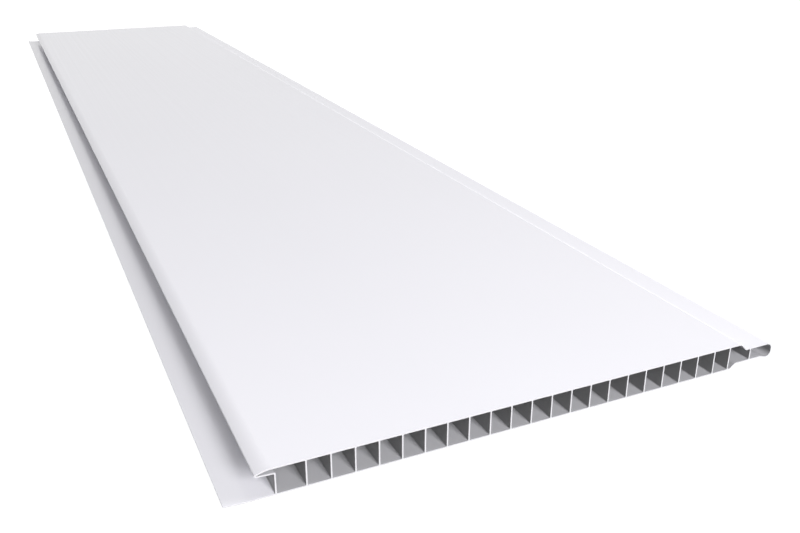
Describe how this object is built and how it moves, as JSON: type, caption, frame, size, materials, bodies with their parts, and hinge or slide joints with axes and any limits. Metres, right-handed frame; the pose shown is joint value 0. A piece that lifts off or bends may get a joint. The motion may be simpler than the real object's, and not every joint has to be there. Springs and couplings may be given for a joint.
{
  "type": "hollow plastic panel",
  "caption": "Hollow white PVC lining panel with upright inner webs, a tongue along one edge and a hooked groove with a fixing flange along the other.",
  "frame": {"origin": "centre of the panel's bounding box in plan, on the plane of its back face", "axes": "+Y along the panel's length, away from the cut end that the picture shows near; +X across it toward the tongue; +Z out of the visible face"},
  "size_m": [0.2154, 1, 0.01],
  "materials": {
    "white_pvc": "smooth glossy white rigid PVC with a faint cool tint"
  },
  "bodies": {
    "root": {"hollow_panel": "white_pvc"}
  },
  "joints": []
}
